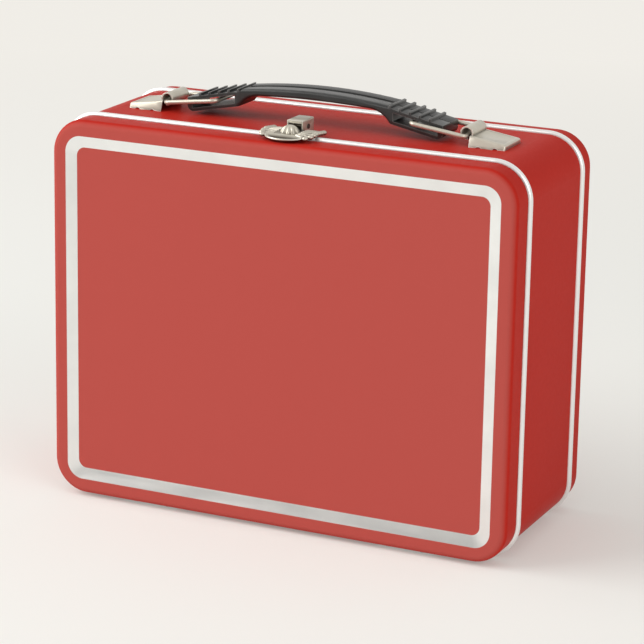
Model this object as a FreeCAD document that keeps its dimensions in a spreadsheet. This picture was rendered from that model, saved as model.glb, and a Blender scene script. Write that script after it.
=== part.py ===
import FreeCAD, Part
import Sketcher
import math
import os

# Metal lunch box: a sheet-metal case with a hinged front lid, a filigree latch and a carrying handle.
# Millimetres. The origin is the middle of the base, X runs along the front, Y to the back, Z up.

# Driving dimensions: name, value, meaning
SIZES = [
    ("body_width", 219.0, "case width across the painted walls"),
    ("body_height", 172.0, "case height across the painted walls"),
    ("corner_radius", 15.5, "outside corner radius of the walls"),
    ("sheet", 0.4, "thickness of the case sheet"),
    ("bead_radius", 1.5, "radius of the half-round rims"),
    ("lid_depth", 14.2, "front face to the middle of the front rim"),
    ("band_depth", 62.3, "middle of the front rim to the middle of the rear rim"),
    ("back_depth", 13.0, "middle of the rear rim to the back face"),
    ("lid_edge_radius", 3.0, "rounding round the front face"),
    ("back_edge_radius", 2.5, "rounding round the back face"),
    ("lid_gap", 0.3, "gap between the lid and the front rim"),
    ("neck_length", 5.0, "length of the neck that the lid closes over"),
    ("neck_clearance", 0.3, "gap between the lid wall and the neck"),
    ("frame_margin", 7.0, "wall to the outer line of the pressed bevel"),
    ("frame_width", 5.1, "width of the pressed bevel"),
    ("frame_outer_radius", 7.5, "corner radius of the outer bevel line"),
    ("frame_inner_radius", 4.0, "corner radius of the inner bevel line"),
    ("lid_recess", 1.2, "depth of the front panel below its rim"),
    ("back_recess", 0.8, "depth of the back panel below its rim"),
    ("hinge_spacing", 124.0, "distance between the two hinges"),
    ("hinge_width", 26.0, "length of one hinge"),
    ("hinge_knuckle", 8.0, "length of an outer hinge knuckle"),
    ("hinge_clearance", 0.3, "side play between hinge knuckles"),
    ("hinge_leaf", 0.6, "thickness of a hinge leaf"),
    ("hinge_leaf_length", 10.5, "hinge axis to the end of a leaf"),
    ("hinge_knuckle_radius", 1.4, "outer radius of a hinge knuckle"),
    ("hinge_pin_radius", 0.7, "radius of a hinge pin"),
    ("hinge_rivet_setback", 8.0, "hinge axis to the rivets"),
    ("hinge_rivet_spacing", 16.0, "distance between the two rivets of a leaf"),
    ("rivet_shank_radius", 0.9, "radius of a hinge rivet's shank"),
    ("rivet_head_radius", 1.8, "radius of a hinge rivet's head"),
    ("rivet_head", 0.5, "thickness of a hinge rivet's head"),
    ("pin_clearance", 0.05, "radial play round a pin or rivet"),
    ("fitting_sheet", 0.6, "thickness of the handle and latch fittings"),
    ("tab_foot", 2.2, "length of a fitting tab clenched inside the case"),
    ("tab_clearance", 0.2, "play of a fitting tab in its slot"),
    ("latch_width", 7.5, "width of the latch bracket"),
    ("latch_height", 6.8, "height of the latch bracket"),
    ("latch_setback", 3.8, "front rim to the front of the latch bracket"),
    ("latch_depth", 11.2, "depth of the latch bracket"),
    ("latch_lip", 0.7, "drop of the latch bracket's front lip"),
    ("latch_tab_width", 3.0, "width of a latch bracket tab"),
    ("latch_pin_setback", 9.4, "front rim to the latch pin"),
    ("latch_pin_height", 3.6, "case top to the latch pin"),
    ("latch_pin_radius", 0.6, "radius of the latch pin"),
    ("latch_pin_head", 0.4, "thickness of the latch pin's head"),
    ("latch_barrel_radius", 1.4, "outer radius of the flap's rolled barrel"),
    ("flap_sheet", 0.8, "thickness of the latch flap"),
    ("flap_height", 1.85, "case top to the underside of the flap"),
    ("flap_lip_height", 0.95, "case top to the underside of the flap's front lip"),
    ("flap_half_width", 12.4, "half width of the flap's plain oval"),
    ("flap_reach", 12.0, "front rim to the tip of the flap's lip"),
    ("flap_tail", 8.6, "front rim to the rear of the flap's plain oval"),
    ("flap_lip_width", 2.4, "width of the flat lip along the flap's front"),
    ("flap_scoop", 3.4, "length of the slope from the lip up to the flap"),
    ("flap_notch_clearance", 0.9, "gap between the flap's wings and the bracket"),
    ("flap_neck_width", 4.6, "width of the flap's neck into the bracket"),
    ("dome_radius", 4.0, "radius of the flap's pressed dome"),
    ("dome_setback", -0.5, "front rim to the middle of the dome"),
    ("dome_centre_height", 1.4, "case top to the centre of the dome"),
    ("lobe_radius", 2.0, "radius of a scallop on the flap's wings"),
    ("lobe_eye_radius", 0.75, "radius of the eye pierced in a scallop"),
    ("lobe_spread", 13.0, "half depth of the oval that the scallops lie on"),
    ("ridge_radius", 0.5, "radius of the ridges from the dome to the scallops"),
    ("catch_setback", 4.2, "front rim to the catch button on the lid"),
    ("catch_radius", 2.0, "radius of the catch button"),
    ("catch_height", 0.8, "height of the catch button"),
    ("clip_sheet", 0.3, "thickness of the latch spring"),
    ("clip_clearance", 0.25, "gap between the latch spring and the catch"),
    ("handle_offset", -0.5, "handle centre line behind the middle of the depth"),
    ("handle_width", 17.0, "width of the handle"),
    ("grip_half", 34.6, "half length of the grip's top arch"),
    ("grip_rise", 15.8, "case top to the crown of the grip"),
    ("grip_end_rise", 13.5, "case top to the ends of the grip's arch"),
    ("finger_half", 26.5, "half length of the finger space under the grip"),
    ("finger_rise", 12.1, "case top to the middle of the grip's underside"),
    ("finger_end_rise", 11.3, "case top to the ends of the grip's underside"),
    ("plate_start", 35.2, "handle centre to the inner end of the ribbed plate"),
    ("plate_end", 61.0, "handle centre to the handle's end"),
    ("plate_start_rise", 12.8, "case top to the inner end of the ribbed plate"),
    ("plate_end_rise", 7.5, "case top to the outer end of the ribbed plate"),
    ("plate_thickness", 1.5, "thickness of the ribbed plate over the slot"),
    ("strip_start", 35.8, "handle centre to the inner end of the lower strip"),
    ("strip_end", 58.2, "handle centre to the outer end of the lower strip"),
    ("strip_start_rise", 5.95, "case top to the inner end of the lower strip"),
    ("strip_end_rise", 1.4, "case top to the outer end of the lower strip"),
    ("strip_thickness", 1.5, "thickness of the lower strip under the slot"),
    ("slot_start", 37.8, "handle centre to the inner end of the slot"),
    ("slot_end", 58.6, "handle centre to the outer end of the slot"),
    ("rib_start", 35.7, "handle centre to the first rib"),
    ("rib_pitch", 4.68, "distance between ribs"),
    ("rib_width", 1.0, "width of a rib"),
    ("rib_height", 1.1, "height of a rib"),
    ("grip_top_round", 1.4, "rounding of the grip's upper edges"),
    ("grip_under_round", 1.2, "rounding of the grip's lower edges"),
    ("groove_width", 3.6, "width of the groove along the grip"),
    ("groove_depth", 0.6, "depth of the groove along the grip"),
    ("seam_width", 1.0, "width of the groove along the ribbed plates"),
    ("seam_depth", 0.3, "depth of the groove along the ribbed plates"),
    ("wire_radius", 1.0, "radius of the bail wire"),
    ("bail_axis", 71.6, "handle centre to the bail's fixed bar"),
    ("bail_bar", 46.4, "handle centre to the bail's bar in the handle slot"),
    ("bail_side_gap", 0.6, "gap between the handle and the bail's sides"),
    ("bail_bend", 2.2, "bend radius of the bail wire"),
    ("bail_clearance", 0.5, "gap between the slot roof and the bail's bar"),
    ("bail_seat", 0.15, "gap between the bail's fixed bar and its curl"),
    ("curl_inner_radius", 2.3, "inner radius of the bracket's curl"),
    ("curl_height", 5.4, "case top to the centre of the curl"),
    ("curl_length", 15.4, "length of the bracket's curl"),
    ("hood_start", 73.5, "handle centre to the inner end of the bracket's hood"),
    ("hood_end", 89.8, "handle centre to the outer end of the bracket's hood"),
    ("hood_width", 17.4, "width of the bracket's hood along its top"),
    ("hood_start_flare", 1.7, "spread of the hood's skirts at its inner end"),
    ("hood_end_flare", 0.9, "spread of the hood's skirts at its outer end"),
    ("hood_border", 1.4, "margin round the panel sunk in the hood's top"),
    ("hood_panel", 0.2, "depth of the panel sunk in the hood's top"),
    ("hood_start_height", 4.6, "height of the hood at its inner end"),
    ("hood_end_height", 2.2, "height of the hood at its outer end"),
    ("hood_round", 0.9, "rounding of the hood's upper edges"),
    ("hood_arch", 0.5, "height of the arch in the hood's lower edge"),
    ("hood_foot", 3.2, "length of the hood's feet beside the arch"),
    ("hood_tab_width", 5.0, "width of a hood tab"),
]
RIBS_PER_END = 5
SCALLOP_ANGLES = (-30, -10, 10, 30)
HINGE_SIDES = (("left", -1), ("right", 1))
CUT_MARGIN = 1.0
CURL_TIP_ANGLE = 282
TOLERANCE = 1e-4
ZERO = "0.0"

Vector = FreeCAD.Vector
doc = FreeCAD.newDocument("lunch_box")
sheet_object = doc.addObject("Spreadsheet::Sheet", "Sizes")
for row, (alias, value, meaning) in enumerate(SIZES, start=1):
    sheet_object.set(f"A{row}", meaning)
    sheet_object.set(f"B{row}", str(value))
    sheet_object.setAlias(f"B{row}", alias)
doc.recompute()


class Size:
    """A size: its value in millimetres and the expression that ties it to the sheet."""

    def __init__(self, value, text):
        self.value = value
        self.text = text

    def __add__(self, other):
        other = as_size(other)
        return Size(self.value + other.value, f"({self.text} + {other.text})")

    def __sub__(self, other):
        other = as_size(other)
        return Size(self.value - other.value, f"({self.text} - {other.text})")

    def __mul__(self, other):
        other = as_size(other)
        return Size(self.value * other.value, f"({self.text} * {other.text})")

    def __truediv__(self, other):
        other = as_size(other)
        return Size(self.value / other.value, f"({self.text} / {other.text})")

    def __radd__(self, other):
        return as_size(other) + self

    def __rsub__(self, other):
        return as_size(other) - self

    def __rmul__(self, other):
        return as_size(other) * self

    def __neg__(self):
        return as_size(0) - self


def as_size(number):
    """A plain number as a Size."""
    if isinstance(number, Size):
        return number
    return Size(float(number), repr(float(number)))


def cell(alias):
    """The Size held in one cell of the sheet."""
    return Size(float(sheet_object.get(alias)), f"Sizes.{alias}")


def bind(target, path, size):
    """Tie a property of an object to the sheet."""
    target.setExpression(path, as_size(size).text)


# Sketches

def arc_between(begin, finish, radius):
    """Arc of under a half circle, counter-clockwise for a positive radius and clockwise for a negative."""
    chord = finish - begin
    middle = (begin + finish) * 0.5
    height = math.sqrt(max(radius * radius - chord.Length * chord.Length / 4, 0))
    left = Vector(-chord.y, chord.x, 0).normalize()
    centre = middle + left * math.copysign(height, radius)
    circle = Part.Circle(centre, Vector(0, 0, 1), abs(radius))
    first, last = (begin, finish) if radius > 0 else (finish, begin)
    return Part.ArcOfCircle(circle, circle.parameter(first), circle.parameter(last))


def constrain(sketch, size, *terms):
    """Add a dimension to a sketch and tie it to the sheet."""
    number = sketch.addConstraint(Sketcher.Constraint(*terms, as_size(size).value))
    bind(sketch, f"Constraints[{number}]", size)


def pin_point(sketch, number, point, across, along):
    """Fix a point of the sketch, on an axis where its coordinate is always zero."""
    if as_size(across).text == ZERO:
        sketch.addConstraint(Sketcher.Constraint("PointOnObject", number, point, -2))
    else:
        constrain(sketch, across, "DistanceX", -1, 1, number, point)
    if as_size(along).text == ZERO:
        sketch.addConstraint(Sketcher.Constraint("PointOnObject", number, point, -1))
    else:
        constrain(sketch, along, "DistanceY", -1, 1, number, point)


def draw_outline(sketch, corners):
    """Closed outline through (x, y) corners. A third value bends the run that follows into an arc."""
    runs = []
    for index, corner in enumerate(corners):
        following = corners[(index + 1) % len(corners)]
        begin = Vector(as_size(corner[0]).value, as_size(corner[1]).value, 0)
        finish = Vector(as_size(following[0]).value, as_size(following[1]).value, 0)
        clockwise = False
        if len(corner) == 3:
            radius = as_size(corner[2])
            clockwise = radius.value < 0
            number = sketch.addGeometry(arc_between(begin, finish, radius.value))
            constrain(sketch, -radius if clockwise else radius, "Radius", number)
        else:
            number = sketch.addGeometry(Part.LineSegment(begin, finish))
        runs.append((number, 2 if clockwise else 1, 1 if clockwise else 2))
    for index, (number, start, end) in enumerate(runs):
        following, following_start, _ = runs[(index + 1) % len(runs)]
        sketch.addConstraint(Sketcher.Constraint("Coincident", number, end, following, following_start))
        pin_point(sketch, number, start, corners[index][0], corners[index][1])


def draw_circle(sketch, across, along, radius):
    """Circle at a place in the sketch."""
    centre = Vector(as_size(across).value, as_size(along).value, 0)
    number = sketch.addGeometry(Part.Circle(centre, Vector(0, 0, 1), as_size(radius).value))
    constrain(sketch, radius, "Radius", number)
    pin_point(sketch, number, 3, across, along)


def rectangle(low_across, high_across, low_along, high_along):
    """Corners of a rectangle."""
    return [(low_across, low_along), (high_across, low_along),
            (high_across, high_along), (low_across, high_along)]


def rounded_rectangle(width, bottom, top, radius):
    """Corners of a rectangle with round corners, centred across."""
    half = width / 2
    inner = half - radius
    return [
        (-inner, bottom), (inner, bottom, radius),
        (half, bottom + radius), (half, top - radius, radius),
        (inner, top), (-inner, top, radius),
        (-half, top - radius), (-half, bottom + radius, radius),
    ]


# Features of a body

PLANE_SIGN = {"XY_Plane": 1, "XZ_Plane": -1, "YZ_Plane": 1}


def new_body(label):
    """Empty body with its label."""
    body = doc.addObject("PartDesign::Body", label)
    body.Label = label
    return body


def new_sketch(body, name, plane, place):
    """Sketch on one of the body's own planes, moved along that plane's axis to a place."""
    sketch = body.newObject("Sketcher::SketchObject", f"{body.Label}_{name}")
    support = [feature for feature in body.Origin.OriginFeatures if feature.Role == plane]
    sketch.AttachmentSupport = [(support[0], "")]
    sketch.MapMode = "FlatFace"
    bind(sketch, "AttachmentOffset.Base.z", as_size(place) * PLANE_SIGN[plane])
    return sketch


def draw(sketch, shapes):
    """Draw outlines, given as lists of corners, and circles, given as tuples."""
    for shape in shapes:
        if isinstance(shape, tuple):
            draw_circle(sketch, *shape)
        else:
            draw_outline(sketch, shape)


def pad(body, name, plane, low, high, shapes):
    """Material between two places along the plane's axis."""
    sketch = new_sketch(body, f"{name}_sketch", plane, low if PLANE_SIGN[plane] > 0 else high)
    draw(sketch, shapes)
    feature = body.newObject("PartDesign::Pad", f"{body.Label}_{name}")
    feature.Profile = sketch
    bind(feature, "Length", high - low)
    doc.recompute()
    return feature


def cut(body, name, plane, low, high, shapes):
    """Material taken out between two places along the plane's axis."""
    before = body.Shape.Volume
    sketch = new_sketch(body, f"{name}_sketch", plane, high if PLANE_SIGN[plane] > 0 else low)
    draw(sketch, shapes)
    feature = body.newObject("PartDesign::Pocket", f"{body.Label}_{name}")
    feature.Profile = sketch
    bind(feature, "Length", high - low)
    doc.recompute()
    if body.Shape.Volume >= before:
        raise RuntimeError(f"{body.Label}: {name} cuts nothing")
    return feature


def loft(body, kind, name, plane, sections):
    """Ruled loft through outlines, each given with its place along the plane's axis."""
    sketches = []
    for index, (place, corners) in enumerate(sections):
        sketch = new_sketch(body, f"{name}_sketch{index}", plane, place)
        draw(sketch, [corners])
        sketches.append(sketch)
    feature = body.newObject(f"PartDesign::{kind}", f"{body.Label}_{name}")
    feature.Profile = sketches[0]
    feature.Sections = sketches[1:]
    feature.Ruled = True
    doc.recompute()
    return feature


def sweep(body, name, profile_plane, profile_place, profile, path_plane, path_place, path):
    """Section carried round a path that starts at the section."""
    path_sketch = new_sketch(body, f"{name}_path", path_plane, path_place)
    draw(path_sketch, [path])
    profile_sketch = new_sketch(body, f"{name}_profile", profile_plane, profile_place)
    draw(profile_sketch, [profile])
    feature = body.newObject("PartDesign::AdditivePipe", f"{body.Label}_{name}")
    feature.Profile = profile_sketch
    feature.Spine = path_sketch
    doc.recompute()
    return feature


def round_edges(body, name, radius, chosen):
    """Fillet on the edges of the body that a test chooses."""
    base = body.Tip
    edges = [f"Edge{index}" for index, edge in enumerate(base.Shape.Edges, start=1) if chosen(edge)]
    feature = body.newObject("PartDesign::Fillet", f"{body.Label}_{name}")
    feature.Base = (base, edges)
    bind(feature, "Radius", radius)
    doc.recompute()
    return feature


def all_points(edge, test):
    """True when a test holds at the ends and the middle of an edge."""
    middle = edge.valueAt((edge.FirstParameter + edge.LastParameter) / 2)
    return all(test(point) for point in [vertex.Point for vertex in edge.Vertexes] + [middle])


def near(number, size):
    """True when a coordinate is at a size."""
    return abs(number - as_size(size).value) < TOLERANCE


# Solids that need no body of features

def cylinder(label, axis, centre, radius, length):
    """Cylinder that starts at a centre and runs along X or Z."""
    solid = doc.addObject("Part::Cylinder", label)
    bind(solid, "Radius", radius)
    bind(solid, "Height", length)
    turn = FreeCAD.Rotation(Vector(0, 1, 0), 90) if axis == "X" else FreeCAD.Rotation()
    solid.Placement = FreeCAD.Placement(Vector(0, 0, 0), turn)
    for name, size in zip("xyz", centre):
        bind(solid, f"Placement.Base.{name}", size)
    return solid


def fuse(label, solids):
    """One solid from several that meet."""
    whole = doc.addObject("Part::MultiFuse", label)
    whole.Label = label
    whole.Shapes = solids
    return whole


def group(label, solids):
    """Separate solids that share one node."""
    whole = doc.addObject("Part::Compound", label)
    whole.Label = label
    whole.Links = solids
    return whole


# Places that the pieces share

sheet = cell("sheet")
bead = cell("bead_radius")
base_z = bead
top_z = bead + cell("body_height")
front_y = -(cell("lid_depth") + cell("band_depth") + cell("back_depth")) / 2
front_rim_y = front_y + cell("lid_depth")
rear_rim_y = front_rim_y + cell("band_depth")
rear_y = rear_rim_y + cell("back_depth")
band_front_y = front_rim_y - bead
neck_front_y = band_front_y - cell("neck_length")
neck_inset = sheet + cell("neck_clearance")
lid_rear_y = band_front_y - cell("lid_gap")
fitting = cell("fitting_sheet")
tab_play = cell("tab_clearance")
hinge_half = cell("hinge_width") / 2
hinge_play = cell("hinge_clearance")
rivet_hole = cell("rivet_shank_radius") + cell("pin_clearance")
catch_y = front_rim_y - cell("catch_setback")
catch_shank = cell("catch_radius") / 2
latch_front_y = front_rim_y + cell("latch_setback")
latch_rear_y = latch_front_y + cell("latch_depth")
latch_pin_y = front_rim_y + cell("latch_pin_setback")
latch_pin_z = top_z + cell("latch_pin_height")
latch_half = cell("latch_width") / 2
latch_tab_y = (latch_front_y + latch_rear_y) / 2
handle_y = cell("handle_offset")
hood_half = cell("hood_width") / 2
hood_foot_half = hood_half + (cell("hood_start_flare") + cell("hood_end_flare")) / 2
hood_tab_x = (cell("hood_start") + cell("hood_end")) / 2


def wall_outline(inset):
    """Outline of the case walls, moved inwards."""
    inset = as_size(inset)
    width = cell("body_width") - inset * 2
    return rounded_rectangle(width, base_z + inset, top_z - inset, cell("corner_radius") - inset)


def frame_outline(inset, radius):
    """Outline of the pressed bevel, inside the walls by its margin and a further inset."""
    margin = cell("frame_margin") + inset
    width = cell("body_width") - margin * 2
    return rounded_rectangle(width, base_z + margin, top_z - margin, radius)


def hinge_x(side):
    """Middle of a hinge."""
    return cell("hinge_spacing") / 2 * side


def hinge_notches():
    """Room for the hinge knuckles, seen from below."""
    low_y = neck_front_y - CUT_MARGIN
    high_y = front_rim_y + cell("hinge_knuckle_radius") + hinge_play
    reach = hinge_half + hinge_play
    return [rectangle(hinge_x(side) - reach, hinge_x(side) + reach, low_y, high_y) for _, side in HINGE_SIDES]


def rivet_places(direction):
    """Rivets of the hinge leaves that run one way from the axis: 1 to the back, -1 to the front."""
    y = front_rim_y + cell("hinge_rivet_setback") * direction
    spread = cell("hinge_rivet_spacing") / 2
    return [(hinge_x(side) + spread * end, y) for _, side in HINGE_SIDES for end in (-1, 1)]


# Case

def make_band():
    """Middle band of the case, with the neck that the lid closes over."""
    body = new_body("body_band")
    pad(body, "wall", "XZ_Plane", band_front_y, rear_rim_y, [wall_outline(0), wall_outline(sheet)])
    shoulder = [wall_outline(0), wall_outline(neck_inset + sheet)]
    pad(body, "shoulder", "XZ_Plane", band_front_y, band_front_y + sheet, shoulder)
    neck = [wall_outline(neck_inset), wall_outline(neck_inset + sheet)]
    pad(body, "neck", "XZ_Plane", neck_front_y, band_front_y + sheet, neck)
    floor = base_z + neck_inset + sheet
    cut(body, "hinge_notches", "XY_Plane", base_z - CUT_MARGIN, floor + CUT_MARGIN, hinge_notches())
    holes = [(x, y, rivet_hole) for x, y in rivet_places(1)]
    cut(body, "rivet_holes", "XY_Plane", base_z - CUT_MARGIN, base_z + sheet + CUT_MARGIN, holes)
    catch_reach = cell("catch_radius") + neck_inset
    relief = rectangle(-catch_reach, catch_reach, neck_front_y - CUT_MARGIN, band_front_y - sheet)
    cut(body, "catch_relief", "XY_Plane", top_z - neck_inset - sheet - CUT_MARGIN, top_z, [relief])
    slots = []
    for side in (-1, 1):
        slot_x = hood_tab_x * side
        reach = cell("hood_tab_width") / 2 + tab_play
        for row in (-1, 1):
            skirt = (hood_foot_half - fitting / 2) * row + handle_y
            width = fitting / 2 + tab_play
            slots.append(rectangle(slot_x - reach, slot_x + reach, skirt - width, skirt + width))
        cheek = (latch_half - fitting / 2) * side
        width = fitting / 2 + tab_play
        reach = cell("latch_tab_width") / 2 + tab_play
        slots.append(rectangle(cheek - width, cheek + width, latch_tab_y - reach, latch_tab_y + reach))
    cut(body, "tab_slots", "XY_Plane", top_z - sheet - CUT_MARGIN, top_z + CUT_MARGIN, slots)
    return body


def make_rim(label, place):
    """Half-round rim round the case."""
    body = new_body(label)
    path = wall_outline(0)
    section = [(place - bead, base_z, bead), (place, base_z - bead, bead), (place + bead, base_z)]
    sweep(body, "bead", "YZ_Plane", path[0][0], section, "XZ_Plane", place, path)
    return body


def make_tray(label, face_y, rim_y, edge_radius, recess):
    """Pressed tray: a face with rounded edges and a bevelled panel sunk in it, and a wall round it."""
    inward = 1 if rim_y.value > face_y.value else -1
    floor_y = face_y + sheet * inward
    body = new_body(label)
    pad(body, "form", "XZ_Plane", *sorted((face_y, rim_y), key=lambda size: size.value), [wall_outline(0)])
    low_y, high_y = sorted((floor_y, rim_y), key=lambda size: size.value)
    cut(body, "hollow", "XZ_Plane", low_y, high_y, [wall_outline(sheet)])
    on_floor = lambda point: near(point.y, floor_y)
    on_face = lambda point: near(point.y, face_y)
    round_edges(body, "inner_edge", edge_radius - sheet, lambda edge: all_points(edge, on_floor))
    round_edges(body, "edge", edge_radius, lambda edge: all_points(edge, on_face))
    outer = frame_outline(as_size(0), cell("frame_outer_radius"))
    inner = frame_outline(cell("frame_width"), cell("frame_inner_radius"))
    sunk = recess * inward
    loft(body, "AdditiveLoft", "panel", "XZ_Plane", [(floor_y, outer), (floor_y + sunk, inner)])
    loft(body, "SubtractiveLoft", "recess", "XZ_Plane", [(face_y, outer), (face_y + sunk, inner)])
    return body


def make_front_rim():
    """Front rim, broken where the hinges sit."""
    body = make_rim("front_rim", front_rim_y)
    cut(body, "hinge_gaps", "XY_Plane", -as_size(CUT_MARGIN), base_z + CUT_MARGIN, hinge_notches())
    return body


def make_lid():
    """Front lid, with the holes for its hinges and its catch."""
    body = make_tray("front_lid", front_y, lid_rear_y, cell("lid_edge_radius"), cell("lid_recess"))
    holes = [(x, y, rivet_hole) for x, y in rivet_places(-1)]
    cut(body, "rivet_holes", "XY_Plane", base_z - CUT_MARGIN, base_z + sheet + CUT_MARGIN, holes)
    hole_radius = catch_shank + cell("pin_clearance")
    hole = (as_size(0), catch_y, hole_radius)
    cut(body, "catch_hole", "XY_Plane", top_z - sheet - CUT_MARGIN, top_z + CUT_MARGIN, [hole])
    return body


# Hinges

def make_leaf(label, side, direction):
    """Hinge leaf under the case wall: two outer knuckles on the band, one middle knuckle on the lid."""
    body = new_body(label)
    middle = hinge_x(side)
    low_x = middle - hinge_half
    high_x = middle + hinge_half
    knuckle = cell("hinge_knuckle")
    if direction > 0:
        spans = [(low_x, low_x + knuckle), (high_x - knuckle, high_x)]
    else:
        spans = [(low_x + knuckle + hinge_play, high_x - knuckle - hinge_play)]
    radius = cell("hinge_knuckle_radius")
    root_y = front_rim_y + (radius + hinge_play) * direction
    end_y = front_rim_y + cell("hinge_leaf_length") * direction
    under = base_z - cell("hinge_leaf")
    low_y, high_y = sorted((root_y, end_y), key=lambda size: size.value)
    pad(body, "leaf", "XY_Plane", under, base_z, [rectangle(low_x, high_x, low_y, high_y)])
    for index, (start, end) in enumerate(spans):
        low_y, high_y = sorted((front_rim_y, root_y + sheet * direction), key=lambda size: size.value)
        pad(body, f"strap{index}", "XY_Plane", under, base_z, [rectangle(start, end, low_y, high_y)])
        pad(body, f"knuckle{index}", "YZ_Plane", start, end, [(front_rim_y, base_z, radius)])
    bore = cell("hinge_pin_radius") + cell("pin_clearance")
    cut(body, "bore", "YZ_Plane", low_x - CUT_MARGIN, high_x + CUT_MARGIN, [(front_rim_y, base_z, bore)])
    holes = [(x, y, rivet_hole) for x, y in rivet_places(direction)
             if abs(x.value - middle.value) < hinge_half.value]
    cut(body, "rivet_holes", "XY_Plane", under - CUT_MARGIN, base_z + CUT_MARGIN, holes)
    return body


def make_hinge_pin(name, side):
    """Pin through the knuckles of one hinge."""
    centre = (hinge_x(side) - hinge_half, front_rim_y, base_z)
    return cylinder(f"hinge_pin_{name}", "X", centre, cell("hinge_pin_radius"), cell("hinge_width"))


def make_rivet(name, x, y, under, over):
    """Rivet along Z with a head below and a head above what it joins."""
    head = cell("rivet_head")
    shank = cylinder(f"{name}_shank", "Z", (x, y, under), cell("rivet_shank_radius"), over - under)
    lower = cylinder(f"{name}_lower", "Z", (x, y, under - head), cell("rivet_head_radius"), head)
    upper = cylinder(f"{name}_upper", "Z", (x, y, over), cell("rivet_head_radius"), head)
    return fuse(name, [shank, lower, upper])


def make_hinge_rivets(label, direction):
    """Rivets of the two leaves that run one way."""
    under = base_z - cell("hinge_leaf")
    places = rivet_places(direction)
    return group(label, [make_rivet(f"{label}_{index}", x, y, under, base_z + sheet)
                         for index, (x, y) in enumerate(places)])


# Latch

def clenched_tab(side, edge, foot):
    """Tab seen along its width: down through the case top and folded inwards under it."""
    outer = edge * side
    inner = (edge - fitting) * side
    tip = (edge - fitting - foot) * side
    under = top_z - sheet
    return [(inner, top_z), (outer, top_z), (outer, under - fitting),
            (tip, under - fitting), (tip, under), (inner, under)]


def make_latch_bracket():
    """Box-shaped bracket on the case top, open at the front, that carries the latch pin."""
    body = new_body("latch_bracket")
    roof = top_z + cell("latch_height")
    inner = latch_half - fitting
    arch = [(-latch_half, top_z), (-inner, top_z), (-inner, roof - fitting), (inner, roof - fitting),
            (inner, top_z), (latch_half, top_z), (latch_half, roof), (-latch_half, roof)]
    pad(body, "arch", "XZ_Plane", latch_front_y, latch_rear_y, [arch])
    rear = rectangle(-latch_half, latch_half, top_z, roof)
    pad(body, "rear_wall", "XZ_Plane", latch_rear_y - fitting, latch_rear_y, [rear])
    lip = rectangle(-latch_half, latch_half, roof - fitting - cell("latch_lip"), roof)
    pad(body, "lip", "XZ_Plane", latch_front_y, latch_front_y + fitting, [lip])
    tab_reach = cell("latch_tab_width") / 2
    for name, side in HINGE_SIDES:
        tab = clenched_tab(side, latch_half, cell("tab_foot"))
        pad(body, f"tab_{name}", "XZ_Plane", latch_tab_y - tab_reach, latch_tab_y + tab_reach, [tab])
    bore = (latch_pin_y, latch_pin_z, cell("latch_pin_radius") + cell("pin_clearance"))
    cut(body, "bore", "YZ_Plane", -latch_half - CUT_MARGIN, latch_half + CUT_MARGIN, [bore])
    long_edge = lambda point: near(abs(point.x), latch_half) and near(point.z, roof)
    round_edges(body, "roof_edges", fitting, lambda edge: all_points(edge, long_edge))
    return body


def make_latch_pin():
    """Pin across the latch bracket, headed at both ends."""
    radius = cell("latch_pin_radius")
    head = cell("latch_pin_head")
    shank = cylinder("latch_pin_shank", "X", (-latch_half, latch_pin_y, latch_pin_z), radius, latch_half * 2)
    heads = [cylinder(f"latch_pin_head_{name}", "X", (start, latch_pin_y, latch_pin_z), radius + head, head)
             for name, start in (("left", -latch_half - head), ("right", latch_half))]
    return fuse("latch_pin", [shank] + heads)


def prism(points, direction):
    """Solid drawn from a closed run of points along a direction."""
    return Part.Face(Part.makePolygon(points + points[:1])).extrude(direction)


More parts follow.
